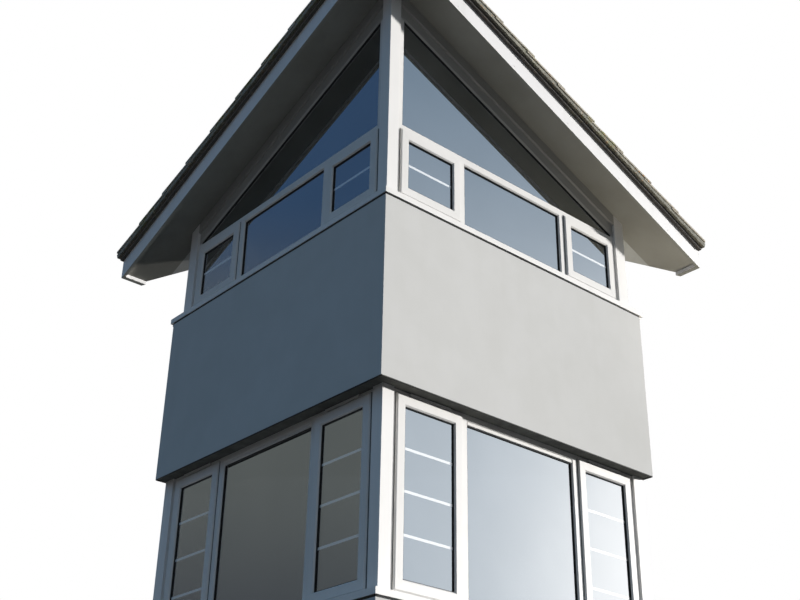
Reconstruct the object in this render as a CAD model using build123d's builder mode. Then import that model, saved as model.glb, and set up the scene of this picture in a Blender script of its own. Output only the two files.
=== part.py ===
from build123d import *
from math import atan, cos, radians, sin, sqrt, tan
import os

# A square-cornered bay window of three storeys, cut off at the wall behind it.
# Millimetres, +Z up, the glazed corner points towards -Y.
# Along each face, u runs from the corner to the far end, and v runs inwards from the face.

# Overall sizes
face_width = 2500.0
return_depth = 460.0
storey_height = 2550.0
spandrel_height = 1250.0
ground_to_lowest_head = 2300.0

# Walls, floors and brick base
wall_thickness = 250.0
cheek_thickness = 95.0
floor_thickness = 270.0
wall_top_above_floor = 850.0
ground_slab_thickness = 150.0
plinth_height = 300.0
plinth_setback = 20.0

# Window lines behind the rendered face
lower_setback = 80.0
upper_setback = 30.0
lower_end_inset = 13.0
upper_end_inset = 78.0
corner_post_width = 90.0
end_post_width = 102.0
frame_behind_post = 18.0
frame_depth = 70.0

# Frame members, casements and glass
head_width = 45.0
mullion_width = 75.0
casement_width = 540.0
casement_inset = 30.0
casement_head_inset = 27.0
casement_rail = 70.0
casement_proud = 15.0
casement_depth = 62.0
running_gap = 3.0
rebate_lap = 18.0
glass_lap = 12.0
glass_lip = 20.0
glass_thickness = 24.0
bevel = 8.0
bead_width = 18.0
bead_depth = 16.0

# Sills and inner boards
sill_recess = 15.0
sill_nosing = 40.0
sill_projection = 5.0
sill_slope_rise = 7.0
sill_horn = 37.0
mitre_gap = 1.0
board_thickness = 25.0
board_projection = 30.0

# Gable light of the top storey, which narrows to its far end over the low windows
gable_stile = 52.0
gable_rail = 20.0
gable_light_end_height = 18.0
rake_frame_width = 88.0
rake_trim_width = 82.0

# Roof
roof_pitch = 22.4
soffit_height_at_far_end = 766.0
soffit_thickness = 12.0
roof_deck_thickness = 108.0
verge_overhang = 236.0
barge_thickness = 25.0
barge_drop = 26.0
eaves_overhang = 510.0
undercloak_thickness = 6.0
undercloak_reach = 25.0
tile_reach = 50.0
tile_gauge = 345.0
tile_bed_height = 26.0
tile_bed_setback = 28.0
tile_butt = 68.0
tile_head = 50.0
hip_tile_length = 450.0
hip_tile_radius = 160.0
hip_tile_half_angle = 50.0
hip_tile_bedding = 0.3
hip_tile_thickness = 18.0
hip_tile_joint = 3.0

# Small fittings
vent_length = 330.0
vent_height = 16.0
vent_depth = 14.0
handle_plate = (28.0, 66.0, 10.0)
handle_lever = (18.0, 115.0, 14.0)

# Levels worked out from the sizes above
first_foot = ground_to_lowest_head
second_foot = first_foot + storey_height
spandrel_feet = {"first": first_foot, "second": second_foot}
spandrel_top = second_foot + spandrel_height
sill_top = sill_recess + sill_nosing + sill_slope_rise
apron_top = first_foot - storey_height + spandrel_height
pitch = radians(roof_pitch)
fall = tan(pitch)
soffit_at_corner = spandrel_top + soffit_height_at_far_end + face_width * fall
eaves_reach = face_width + eaves_overhang
cut_sum = face_width + return_depth
tile_edge = verge_overhang + tile_reach
corner_y = (tile_edge * sqrt(2) - cut_sum / sqrt(2)) / 2

# Planes of the right half; the left half mirrors it about the plane X = 0
corner = (0, corner_y, 0)
plan = Plane(origin=corner, x_dir=(1, 1, 0), z_dir=(0, 0, 1))
right_face = Plane(origin=corner, x_dir=(1, 1, 0), z_dir=(1, -1, 0))
along_right = Plane(origin=corner, x_dir=(-1, 1, 0), z_dir=(1, 1, 0))
outwards = Axis(origin=corner, direction=(1, -1, 0))
wall_line = Plane(origin=(0, corner_y + cut_sum / sqrt(2), 0), x_dir=(1, 0, 0), z_dir=(0, -1, 0))


def save(piece, name):
    """Label a finished piece and write it as its own file."""
    piece.part.label = name
    export_step(piece.part, f"parts/{name}.step")


def plan_area(corners, level):
    """Plan outline at a level, its corners given as (u, v)."""
    with BuildSketch(plan.offset(level)) as area:
        with BuildLine():
            Polyline(*corners, close=True)
        make_face()
    return area.sketch


def face_area(corners, depth):
    """Upright outline parallel to the right face at a depth behind it, corners as (u, z)."""
    with BuildSketch(right_face.offset(-depth)) as area:
        with BuildLine():
            Polyline(*corners, close=True)
        make_face()
    return area.sketch


def section_area(corners, distance):
    """Cross-section of the right wall at a distance from the corner, corners as (v, z)."""
    with BuildSketch(along_right.offset(distance)) as area:
        with BuildLine():
            Polyline(*corners, close=True)
        make_face()
    return area.sketch


def roof_line(u, rise=0.0):
    """Level of the soffit's underside at u, or of a plane that lies above it by rise."""
    return soffit_at_corner - u * fall + rise / cos(pitch)


def sloped_layer(u_from, u_to, low, high):
    """Outline, as (u, z), of a roof layer between two distances square to the slope."""
    return [
        (u_from, roof_line(u_from, low)),
        (u_to, roof_line(u_to, low)),
        (u_to, roof_line(u_to, high)),
        (u_from, roof_line(u_from, high)),
    ]


def wall_plan(face_inset):
    """Plan of the straight right wall, mitred at the corner."""
    far = face_width - face_inset
    inner = wall_thickness
    return [(face_inset, face_inset), (far, face_inset), (far, inner), (inner, inner)]


def return_plan(face_inset, thickness, start):
    """Plan of the short wall that runs back from the far end of the right face."""
    far = face_width - face_inset
    near = far - thickness
    return [(near, start), (far, start), (far, cut_sum - far), (near, cut_sum - near)]


def floor_plan(inset):
    """Plan of a floor inside the walls, open to the room behind."""
    far = face_width - inset
    return [(inset, inset), (far, inset), (far, cut_sum - far), (cut_sum - far, far), (inset, far)]


# Brick plinth: one bonded mass round the three outer sides
with BuildPart() as brick_plinth:
    extrude(plan_area(wall_plan(plinth_setback), 0), amount=plinth_height)
    plinth_end = return_plan(plinth_setback, wall_thickness - plinth_setback, wall_thickness)
    extrude(plan_area(plinth_end, 0), amount=plinth_height)
    mirror(about=Plane.YZ)
save(brick_plinth, "brick_plinth")

# Ground floor slab inside the plinth
with BuildPart() as ground_floor:
    extrude(plan_area(floor_plan(wall_thickness), 0), amount=ground_slab_thickness)
save(ground_floor, "ground_floor")

# Rendered walls: the apron over the plinth and the two spandrels between the storeys
rendered_walls = {
    "ground_apron": (plinth_height, apron_top),
    "first_spandrel": (first_foot, first_foot + spandrel_height),
    "second_spandrel": (second_foot, spandrel_top),
}
for wall_name, (foot, top) in rendered_walls.items():
    with BuildPart() as wall_right:
        extrude(plan_area(wall_plan(0), foot), amount=top - foot)
    save(wall_right, f"{wall_name}_right")

    with BuildPart() as wall_left:
        mirror(wall_right.part, about=Plane.YZ)
    save(wall_left, f"{wall_name}_left")

# Short rendered returns that run back from the far ends of those walls
with BuildPart() as wall_returns:
    for foot, top in rendered_walls.values():
        extrude(plan_area(return_plan(0, wall_thickness, wall_thickness), foot), amount=top - foot)
    mirror(about=Plane.YZ)
save(wall_returns, "wall_returns")

# Floor decks, held between the spandrel walls
for storey, foot in spandrel_feet.items():
    with BuildPart() as floor_deck:
        deck_foot = foot + spandrel_height - wall_top_above_floor - floor_thickness
        extrude(plan_area(floor_plan(wall_thickness), deck_foot), amount=floor_thickness)
    save(floor_deck, f"{storey}_floor")

# Gable light above the low windows: its far end stands where the raking head meets their head
gable_left = upper_setback + corner_post_width
gable_right = face_width - upper_end_inset - end_post_width
gable_front = upper_setback + frame_behind_post
glass_left = gable_left + gable_stile
glass_right = gable_right - gable_rail
trim_fall = rake_trim_width + rake_frame_width
glass_foot = roof_line(glass_right, -trim_fall) - gable_light_end_height
low_window_head = glass_foot - gable_rail

# Window storeys: wall top, head level at the face, setback of the posts, inset of the end posts
storeys = {
    "ground": (apron_top, first_foot, lower_setback, lower_end_inset),
    "first": (first_foot + spandrel_height, second_foot, lower_setback, lower_end_inset),
    "second": (spandrel_top, low_window_head, upper_setback, upper_end_inset),
}
glazing_bead_sets = []
handle_sets = []
vent_sets = []
for storey, (wall_top, head, setback, end_inset) in storeys.items():
    has_gable = storey == "second"
    sill_level = wall_top + sill_top
    frame_front = setback + frame_behind_post
    frame_back = frame_front + frame_depth
    post_inner = setback + corner_post_width
    end_outer = face_width - end_inset
    end_inner = end_outer - end_post_width
    frame_middle = (post_inner + end_inner) / 2

    # Projecting sill with a drip recess below its nosing, mitred at the corner
    with BuildPart() as sill:
        sill_profile = [
            (-sill_projection, wall_top + sill_recess),
            (-sill_projection, wall_top + sill_recess + sill_nosing),
            (frame_front, sill_level),
            (frame_back, sill_level),
            (frame_back, wall_top),
            (sill_recess, wall_top),
            (sill_recess, wall_top + sill_recess),
        ]
        sill_start = -2 * sill_projection
        sill_end = face_width + sill_horn
        extrude(section_area(sill_profile, sill_start), amount=sill_end - sill_start)
        split(bisect_by=Plane.YZ.offset(mitre_gap / 2), keep=Keep.TOP)
        mirror(about=Plane.YZ)
    save(sill, f"{storey}_sill")

    # Square corner post, cut to the soffit's two slopes where it carries the roof
    with BuildPart() as corner_post:
        post_middle = (setback + post_inner) / 2
        with BuildSketch(plan.offset(sill_level)):
            with Locations((post_middle, post_middle)):
                Rectangle(corner_post_width, corner_post_width)
        if has_gable:
            extrude(amount=soffit_at_corner - sill_level)
            over_soffit = sloped_layer(0, face_width, 0, storey_height)
            clear_right = extrude(face_area(over_soffit, 0), amount=-face_width, mode=Mode.SUBTRACT)
            mirror(clear_right, about=Plane.YZ, mode=Mode.SUBTRACT)
        else:
            extrude(amount=head - sill_level)
    save(corner_post, f"{storey}_corner_post")

    # End posts and the cheeks behind them, up to the head or the soffit
    with BuildPart() as end_posts:
        near_top = roof_line(end_inner) if has_gable else head
        far_top = roof_line(end_outer) if has_gable else head
        post_face = [
            (end_inner, sill_level),
            (end_outer, sill_level),
            (end_outer, far_top),
            (end_inner, near_top),
        ]
        extrude(face_area(post_face, setback), amount=setback - frame_back)
        mirror(about=Plane.YZ)
    save(end_posts, f"{storey}_end_posts")

    with BuildPart() as cheeks:
        cheek_inner = end_outer - cheek_thickness
        near_top = roof_line(cheek_inner) if has_gable else head
        cheek_face = [
            (cheek_inner, wall_top),
            (end_outer, wall_top),
            (end_outer, far_top),
            (cheek_inner, near_top),
        ]
        extrude(face_area(cheek_face, frame_back), amount=cheek_inner - cut_sum)
        split(bisect_by=wall_line, keep=Keep.TOP)
        mirror(about=Plane.YZ)
    save(cheeks, f"{storey}_cheeks")

    # Lights of one face as (left, right, foot, top): casement, fixed, casement
    near_casement = (post_inner + casement_inset, post_inner + casement_inset + casement_width)
    far_casement = (2 * frame_middle - near_casement[1], 2 * frame_middle - near_casement[0])
    casement_foot = sill_level + casement_head_inset
    casement_top = head - casement_head_inset
    overlap = rebate_lap + running_gap
    fixed_left = near_casement[1] - overlap + mullion_width
    fixed_right = 2 * frame_middle - fixed_left
    fixed_foot = sill_level + head_width
    fixed_top = head - head_width

    # Outer frame with its two mullions; the casements lap over its openings
    with BuildPart() as frames:
        with BuildSketch(right_face.offset(-frame_front)):
            with Locations((frame_middle, (sill_level + head) / 2)):
                Rectangle(end_inner - post_inner, head - sill_level)
        extrude(amount=-frame_depth)
        for left, right in (near_casement, far_casement):
            with BuildSketch(right_face.offset(-frame_front)):
                with Locations(((left + right) / 2, (casement_foot + casement_top) / 2)):
                    opening_height = casement_top - casement_foot - 2 * rebate_lap
                    Rectangle(casement_width - 2 * rebate_lap, opening_height)
            extrude(amount=-frame_depth, mode=Mode.SUBTRACT)
        with BuildSketch(right_face.offset(-frame_front)):
            with Locations((frame_middle, (fixed_foot + fixed_top) / 2)):
                Rectangle(fixed_right - fixed_left, fixed_top - fixed_foot)
        extrude(amount=-frame_depth, mode=Mode.SUBTRACT)
        with BuildSketch(right_face.offset(-frame_front - glass_lip)):
            with Locations((frame_middle, (fixed_foot + fixed_top) / 2)):
                Rectangle(fixed_right - fixed_left + 2 * glass_lap, fixed_top - fixed_foot + 2 * glass_lap)
        extrude(amount=glass_lip - frame_depth, mode=Mode.SUBTRACT)
        front = frames.faces().sort_by(outwards)[-1]
        fixed_edges = front.inner_wires().edges().filter_by(
            lambda edge: fixed_left - 1 < plan.to_local_coords(edge.center()).X < fixed_right + 1
        )
        chamfer(fixed_edges, length=bevel)
        mirror(about=Plane.YZ)
    save(frames, f"{storey}_frames")

    # Side-hung casements: a bevelled ring that laps over the frame and holds the glass
    with BuildPart() as casements:
        for left, right in (near_casement, far_casement):
            middle = ((left + right) / 2, (casement_foot + casement_top) / 2)
            casement_height = casement_top - casement_foot
            with BuildSketch(right_face.offset(casement_proud - frame_front)):
                with Locations(middle):
                    Rectangle(casement_width, casement_height)
            extrude(amount=-casement_proud)
            with BuildSketch(right_face.offset(-frame_front)):
                with Locations(middle):
                    Rectangle(casement_width - 2 * overlap, casement_height - 2 * overlap)
            extrude(amount=casement_proud - casement_depth)
            with BuildSketch(right_face.offset(casement_proud - frame_front)):
                with Locations(middle):
                    Rectangle(casement_width - 2 * casement_rail, casement_height - 2 * casement_rail)
            extrude(amount=-casement_depth, mode=Mode.SUBTRACT)
            with BuildSketch(right_face.offset(casement_proud - frame_front - glass_lip)):
                with Locations(middle):
                    pocket = 2 * (casement_rail - glass_lap)
                    Rectangle(casement_width - pocket, casement_height - pocket)
            extrude(amount=glass_lip - casement_depth, mode=Mode.SUBTRACT)
        ring_faces = casements.faces().group_by(outwards)[-1]
        chamfer(ring_faces.edges(), length=bevel)
        mirror(about=Plane.YZ)
    save(casements, f"{storey}_casements")

    # Sealed glass units of the casements and the fixed light
    with BuildPart() as glass:
        for left, right in (near_casement, far_casement):
            with BuildSketch(right_face.offset(casement_proud - frame_front - glass_lip)):
                with Locations(((left + right) / 2, (casement_foot + casement_top) / 2)):
                    pocket = 2 * (casement_rail - glass_lap + running_gap)
                    Rectangle(casement_width - pocket, casement_top - casement_foot - pocket)
            extrude(amount=-glass_thickness)
        with BuildSketch(right_face.offset(-frame_front - glass_lip)):
            with Locations((frame_middle, (fixed_foot + fixed_top) / 2)):
                spread = 2 * (glass_lap - running_gap)
                Rectangle(fixed_right - fixed_left + spread, fixed_top - fixed_foot + spread)
        extrude(amount=-glass_thickness)
        mirror(about=Plane.YZ)
    save(glass, f"{storey}_glass")

    # Inner beads that hold the glass from the room side, kept for one piece with the other storeys
    with BuildPart() as beads:
        casement_glass_back = frame_front - casement_proud + glass_lip + glass_thickness
        fixed_glass_back = frame_front + glass_lip + glass_thickness
        bead_rings = [
            (left + casement_rail, right - casement_rail, casement_foot + casement_rail,
             casement_top - casement_rail, casement_glass_back)
            for left, right in (near_casement, far_casement)
        ]
        bead_rings.append((fixed_left, fixed_right, fixed_foot, fixed_top, fixed_glass_back))
        for left, right, foot, top, depth in bead_rings:
            outer_width = right - left + 2 * glass_lap
            outer_height = top - foot + 2 * glass_lap
            with BuildSketch(right_face.offset(-depth)):
                with Locations(((left + right) / 2, (foot + top) / 2)):
                    Rectangle(outer_width, outer_height)
                    inner_size = (outer_width - 2 * bead_width, outer_height - 2 * bead_width)
                    Rectangle(*inner_size, mode=Mode.SUBTRACT)
            extrude(amount=-bead_depth)
        mirror(about=Plane.YZ)
    glazing_bead_sets.append(beads.part)

    # Inner window boards on the wall top, mitred at the corner
    with BuildPart() as boards:
        board_nose = wall_thickness + board_projection
        board_profile = [
            (frame_back, wall_top),
            (wall_thickness, wall_top),
            (wall_thickness, sill_level - board_thickness),
            (board_nose, sill_level - board_thickness),
            (board_nose, sill_level),
            (frame_back, sill_level),
        ]
        board_end = end_outer - cheek_thickness
        extrude(section_area(board_profile, 0), amount=board_end)
        split(bisect_by=Plane.YZ.offset(mitre_gap / 2), keep=Keep.TOP)
        mirror(about=Plane.YZ)
    save(boards, f"{storey}_window_boards")

    # Handles on the inner face of each casement, at the stile nearer the fixed light
    with BuildPart() as handles:
        handle_face = frame_front - casement_proud + casement_depth
        for handle_u in (near_casement[1] - casement_rail / 2, far_casement[0] + casement_rail / 2):
            with BuildSketch(right_face.offset(-handle_face)):
                with Locations((handle_u, (casement_foot + casement_top) / 2)):
                    RectangleRounded(handle_plate[0], handle_plate[1], handle_plate[0] / 3)
            extrude(amount=-handle_plate[2])
            with BuildSketch(right_face.offset(-handle_face - handle_plate[2])):
                lever_drop = handle_lever[1] / 2 - handle_lever[0] / 2
                with Locations((handle_u, (casement_foot + casement_top) / 2 - lever_drop)):
                    RectangleRounded(handle_lever[0], handle_lever[1], handle_lever[0] / 3)
            extrude(amount=-handle_lever[2])
        mirror(about=Plane.YZ)
    handle_sets.append(handles.part)

    # Trickle vents on the frame's head over the casements of the tall windows
    if not has_gable:
        with BuildPart() as vents:
            for left, right in (near_casement, far_casement):
                with BuildSketch(right_face.offset(-frame_front)):
                    with Locations(((left + right) / 2, head - casement_head_inset / 2)):
                        RectangleRounded(vent_length, vent_height, vent_height / 4)
                extrude(amount=vent_depth)
            mirror(about=Plane.YZ)
        vent_sets.append(vents.part)

# Gable frame over the low windows: stile, rail and a raking head under the soffit
gable_outline = [
    (gable_left, low_window_head),
    (gable_right, low_window_head),
    (gable_right, roof_line(gable_right)),
    (gable_left, roof_line(gable_left)),
]


def gable_light(margin):
    """Outline of the gable's opening, made larger all round by a margin."""
    left = glass_left - margin
    right = glass_right + margin
    return [
        (left, glass_foot - margin),
        (right, glass_foot - margin),
        (right, roof_line(right, margin - trim_fall)),
        (left, roof_line(left, margin - trim_fall)),
    ]


with BuildPart() as gable_frames:
    extrude(face_area(gable_outline, gable_front), amount=-frame_depth)
    extrude(face_area(gable_light(0), gable_front), amount=-frame_depth, mode=Mode.SUBTRACT)
    rebate = face_area(gable_light(glass_lap), gable_front + glass_lip)
    extrude(rebate, amount=glass_lip - frame_depth, mode=Mode.SUBTRACT)
    gable_front_face = gable_frames.faces().sort_by(outwards)[-1]
    chamfer(gable_front_face.inner_wires().edges(), length=bevel)
    mirror(about=Plane.YZ)
save(gable_frames, "gable_frames")

with BuildPart() as gable_glass:
    gable_pane = face_area(gable_light(glass_lap - running_gap), gable_front + glass_lip)
    extrude(gable_pane, amount=-glass_thickness)
    mirror(about=Plane.YZ)
save(gable_glass, "gable_glass")

with BuildPart() as gable_beads:
    bead_plane = gable_front + glass_lip + glass_thickness
    extrude(face_area(gable_light(glass_lap), bead_plane), amount=-bead_depth)
    bead_inside = face_area(gable_light(glass_lap - bead_width), bead_plane)
    extrude(bead_inside, amount=-bead_depth, mode=Mode.SUBTRACT)
    mirror(about=Plane.YZ)
glazing_bead_sets.append(gable_beads.part)

# The small fittings of all storeys, one piece for each kind
with BuildPart() as glazing_beads:
    add(glazing_bead_sets)
save(glazing_beads, "glazing_beads")

with BuildPart() as window_handles:
    add(handle_sets)
save(window_handles, "window_handles")

with BuildPart() as trickle_vents:
    add(vent_sets)
save(trickle_vents, "trickle_vents")

# Raking trim boards that cover the joint between the gable frame and the soffit
with BuildPart() as rake_trims:
    trim_board = sloped_layer(gable_left, gable_right, -rake_trim_width, 0)
    extrude(face_area(trim_board, upper_setback), amount=-frame_behind_post)
    mirror(about=Plane.YZ)
save(rake_trims, "rake_trims")

# Roof layers of the right half, from the verge inwards to the hip and the wall line
barge_inner = verge_overhang - barge_thickness
deck_low = soffit_thickness
deck_high = soffit_thickness + roof_deck_thickness
roof_reach = face_width + eaves_reach
ceiling_start = upper_setback + frame_behind_post + frame_depth

with BuildPart() as soffit_right:
    layer = sloped_layer(-verge_overhang, eaves_reach - barge_thickness, 0, soffit_thickness)
    extrude(face_area(layer, -barge_inner), amount=-(barge_inner + ceiling_start))
    split(bisect_by=Plane.YZ, keep=Keep.TOP)
    split(bisect_by=wall_line, keep=Keep.TOP)
save(soffit_right, "soffit_right")

with BuildPart() as ceiling:
    layer = sloped_layer(0, eaves_reach - barge_thickness, 0, soffit_thickness)
    extrude(face_area(layer, ceiling_start), amount=-roof_reach)
    split(bisect_by=Plane.YZ.offset(mitre_gap / 2), keep=Keep.TOP)
    split(bisect_by=wall_line, keep=Keep.TOP)
    mirror(about=Plane.YZ)
save(ceiling, "ceiling")

with BuildPart() as roof_deck_right:
    layer = sloped_layer(-verge_overhang, eaves_reach - barge_thickness, deck_low, deck_high)
    extrude(face_area(layer, -barge_inner), amount=-roof_reach)
    split(bisect_by=Plane.YZ, keep=Keep.TOP)
    split(bisect_by=wall_line, keep=Keep.TOP)
save(roof_deck_right, "roof_deck_right")

with BuildPart() as bargeboards:
    layer = sloped_layer(-verge_overhang, eaves_reach, -barge_drop, deck_high)
    extrude(face_area(layer, -verge_overhang), amount=-barge_thickness)
    split(bisect_by=Plane.YZ.offset(mitre_gap / 2), keep=Keep.TOP)
    mirror(about=Plane.YZ)
save(bargeboards, "bargeboards")

with BuildPart() as undercloak:
    cloak_edge = verge_overhang + undercloak_reach
    layer = sloped_layer(-tile_edge, eaves_reach, deck_high, deck_high + undercloak_thickness)
    extrude(face_area(layer, -cloak_edge), amount=-roof_reach)
    split(bisect_by=Plane.YZ.offset(mitre_gap / 2), keep=Keep.TOP)
    split(bisect_by=wall_line, keep=Keep.TOP)
    mirror(about=Plane.YZ)
save(undercloak, "undercloak")

# Tile covering: courses that step down the slope, on a bed that stands back from the open edges
bed_base = deck_high + undercloak_thickness
tile_base = bed_base + tile_bed_height
tile_start = -tile_edge - tile_gauge
tile_end = eaves_reach + tile_reach
course_length = tile_gauge * cos(pitch)
course_count = int((tile_end - tile_start) / course_length) + 1
with BuildPart() as tiles_right:
    tile_outline = [(tile_end, roof_line(tile_end, tile_base))]
    for course in range(course_count):
        nose = tile_end - course * course_length
        tile_outline.append((nose, roof_line(nose, tile_base + tile_butt)))
        tile_outline.append((nose - course_length, roof_line(nose - course_length, tile_base + tile_head)))
    tile_outline.append((nose - course_length, roof_line(nose - course_length, tile_base)))
    extrude(face_area(tile_outline, -tile_edge), amount=-roof_reach)
    bed = sloped_layer(tile_start, tile_end - tile_bed_setback, bed_base, tile_base)
    extrude(face_area(bed, tile_bed_setback - tile_edge), amount=-roof_reach)
    split(bisect_by=Plane.YZ, keep=Keep.TOP)
    split(bisect_by=wall_line, keep=Keep.TOP)
save(tiles_right, "tiles_right")

for right_piece, piece_name in (
    (soffit_right, "soffit_left"),
    (roof_deck_right, "roof_deck_left"),
    (tiles_right, "tiles_left"),
):
    with BuildPart() as left_piece:
        mirror(right_piece.part, about=Plane.YZ)
    save(left_piece, piece_name)

# Eaves end boards that close the low ends of the roof
with BuildPart() as eaves_boards:
    board_start = eaves_reach - barge_thickness
    board_face = [
        (board_start, roof_line(board_start, -barge_drop)),
        (eaves_reach, roof_line(eaves_reach, -barge_drop)),
        (eaves_reach, roof_line(eaves_reach, deck_high)),
        (board_start, roof_line(board_start, deck_high)),
    ]
    extrude(face_area(board_face, -barge_inner), amount=-roof_reach)
    split(bisect_by=wall_line, keep=Keep.TOP)
    mirror(about=Plane.YZ)
save(eaves_boards, "eaves_boards")

# Hip tiles: segmental caps laid down the diagonal from the corner, bedded on the tile noses
hip_slope = atan(fall / sqrt(2))
hip_start = -tile_edge * sqrt(2)
hip_run = (cut_sum / sqrt(2) - hip_start) / cos(hip_slope)
hip_edge_height = hip_tile_radius * cos(radians(hip_tile_half_angle))
hip_inner_edge = sqrt((hip_tile_radius - hip_tile_thickness) ** 2 - hip_edge_height**2)
hip_drop = hip_inner_edge * sin(hip_slope) + hip_edge_height - hip_tile_bedding
nose_level = roof_line(-tile_edge, tile_base + tile_butt)
hip_centre_level = nose_level - hip_drop / cos(hip_slope)
with BuildPart() as hip_tiles:
    for index in range(int(hip_run / hip_tile_length) + 1):
        along = index * hip_tile_length
        hip_start_point = (
            0,
            corner_y + hip_start + along * cos(hip_slope),
            hip_centre_level - along * sin(hip_slope),
        )
        uphill = (0, -cos(hip_slope), sin(hip_slope))
        with BuildSketch(Plane(origin=hip_start_point, x_dir=(1, 0, 0), z_dir=uphill)):
            Circle(hip_tile_radius)
            Circle(hip_tile_radius - hip_tile_thickness, mode=Mode.SUBTRACT)
            with Locations((0, hip_edge_height - hip_tile_radius)):
                Rectangle(2 * hip_tile_radius, 2 * hip_tile_radius, mode=Mode.SUBTRACT)
        extrude(amount=hip_tile_joint - hip_tile_length)
    split(bisect_by=wall_line, keep=Keep.TOP)
save(hip_tiles, "hip_tiles")
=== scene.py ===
"""The looks of a square-cornered bay window of three storeys, from its brick plinth to its roof verge."""
import math
import random

import bmesh
import bpy
from mathutils import Matrix, Vector


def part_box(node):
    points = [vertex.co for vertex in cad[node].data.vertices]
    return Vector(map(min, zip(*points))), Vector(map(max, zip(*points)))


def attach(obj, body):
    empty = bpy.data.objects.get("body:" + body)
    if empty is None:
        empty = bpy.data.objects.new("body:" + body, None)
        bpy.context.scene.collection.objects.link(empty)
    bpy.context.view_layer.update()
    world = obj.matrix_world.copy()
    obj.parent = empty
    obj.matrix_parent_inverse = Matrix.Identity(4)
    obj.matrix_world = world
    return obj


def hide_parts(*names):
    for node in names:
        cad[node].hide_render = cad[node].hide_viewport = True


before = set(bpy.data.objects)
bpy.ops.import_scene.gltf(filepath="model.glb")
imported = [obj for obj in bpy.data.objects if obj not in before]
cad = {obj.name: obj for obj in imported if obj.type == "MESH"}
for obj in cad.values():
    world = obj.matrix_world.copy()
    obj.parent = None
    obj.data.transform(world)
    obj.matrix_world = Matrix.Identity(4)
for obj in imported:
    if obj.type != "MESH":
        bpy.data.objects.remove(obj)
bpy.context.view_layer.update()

# The plan of the bay: two flat faces of equal width that meet at a right angle at the front corner.
# Places on a face are given as u, from the corner to the far end, v, inwards from the face, and z.
corner_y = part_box("first_spandrel_right")[0].y
face_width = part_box("first_spandrel_right")[1].x * math.sqrt(2)
wall_line_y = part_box("ground_floor")[1].y
RIGHT, LEFT = 1, -1


def face_axes(side):
    """Matrix that turns (u, v, z) on the right or left face into the part's own axes."""
    half = math.sqrt(0.5)
    return Matrix((
        (side * half, -side * half, 0, 0),
        (half, half, 0, corner_y),
        (0, 0, 1, 0),
        (0, 0, 0, 1),
    ))


# Weather on outside surfaces: broad cloudy patches, and streaks that rain draws down a wall.
# Render, plastic, boards, brick and tile all carry it, each by its own amounts.


def add_noise(tree, place, scale, detail, stretch=(1, 1, 1)):
    """Noise of a given scale per metre; a stretch under 1 draws it out along that axis."""
    mapping = tree.nodes.new("ShaderNodeMapping")
    mapping.inputs["Scale"].default_value = stretch
    tree.links.new(place, mapping.inputs["Vector"])
    noise = tree.nodes.new("ShaderNodeTexNoise")
    noise.inputs["Scale"].default_value = scale
    noise.inputs["Detail"].default_value = detail
    tree.links.new(mapping.outputs["Vector"], noise.inputs["Vector"])
    return noise.outputs["Fac"]


def add_range(tree, value, low, high, to_low=0.0, to_high=1.0):
    """Maps a value from one range to another, clamped, with smooth ends."""
    mapped = tree.nodes.new("ShaderNodeMapRange")
    mapped.interpolation_type = "SMOOTHSTEP"
    for socket, number in zip(("From Min", "From Max", "To Min", "To Max"), (low, high, to_low, to_high)):
        mapped.inputs[socket].default_value = number
    tree.links.new(value, mapped.inputs["Value"])
    return mapped.outputs["Result"]


def add_math(tree, operation, *values):
    """Works out one value from others, each a socket or a plain number."""
    step = tree.nodes.new("ShaderNodeMath")
    step.operation = operation
    for socket, value in zip(step.inputs, values):
        if isinstance(value, bpy.types.NodeSocket):
            tree.links.new(value, socket)
        else:
            socket.default_value = value
    return step.outputs["Value"]


def add_mix(tree, factor, first, second):
    """Mixes two colours, each a socket or a plain colour."""
    mix = tree.nodes.new("ShaderNodeMix")
    mix.data_type = "RGBA"
    color_inputs = [socket for socket in mix.inputs if socket.type == "RGBA"]
    for socket, color in zip(color_inputs, (first, second)):
        if isinstance(color, (tuple, list)):
            socket.default_value = (*color, 1)
        else:
            tree.links.new(color, socket)
    tree.links.new(factor, mix.inputs["Factor"])
    return next(socket for socket in mix.outputs if socket.type == "RGBA")


def start_group(name, inputs):
    """An empty shader group with named inputs, as (name, kind, value), that gives out a colour."""
    group = bpy.data.node_groups.new(name, "ShaderNodeTree")
    for label, kind, value in inputs:
        socket = group.interface.new_socket(label, in_out="INPUT", socket_type=kind)
        if value is not None:
            socket.default_value = value
    group.interface.new_socket("Color", in_out="OUTPUT", socket_type="NodeSocketColor")
    given = group.nodes.new("NodeGroupInput").outputs
    return group, given, group.nodes.new("NodeGroupOutput").inputs


weather, given, result = start_group("weather", [
    ("Place", "NodeSocketVector", None),
    ("Color", "NodeSocketColor", (0.8, 0.8, 0.8, 1)),
    ("Dirt", "NodeSocketColor", (0.2, 0.2, 0.17, 1)),
    ("Patches", "NodeSocketFloat", 0.1),
    ("Streaks", "NodeSocketFloat", 0.1),
])
broad = add_range(weather, add_noise(weather, given["Place"], 1.6, 5), 0.35, 0.75)
cloudy = add_math(weather, "MULTIPLY", broad, given["Patches"])
patched = add_mix(weather, cloudy, given["Color"], given["Dirt"])
drawn = add_range(weather, add_noise(weather, given["Place"], 9.0, 4, stretch=(1, 1, 0.06)), 0.5, 0.8)
streaky = add_math(weather, "MULTIPLY", drawn, given["Streaks"])
weather.links.new(add_mix(weather, streaky, patched, given["Dirt"]), result["Color"])

# Brick plinth: four courses of buff stock brick in stretcher bond, bonded round the corners.
# The bricks stand a few millimetres proud of flush mortar, which is the plinth's own solid.
brick_length, brick_height, brick_depth = 0.215, 0.065, 0.1025
mortar_joint, brick_proud = 0.010, 0.004
brick_sway, worn_arris = 0.0015, 0.0035
shortest_brick = brick_length / 4
course_height = brick_height + mortar_joint
bond_step = brick_depth + mortar_joint
touching = 0.001


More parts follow.
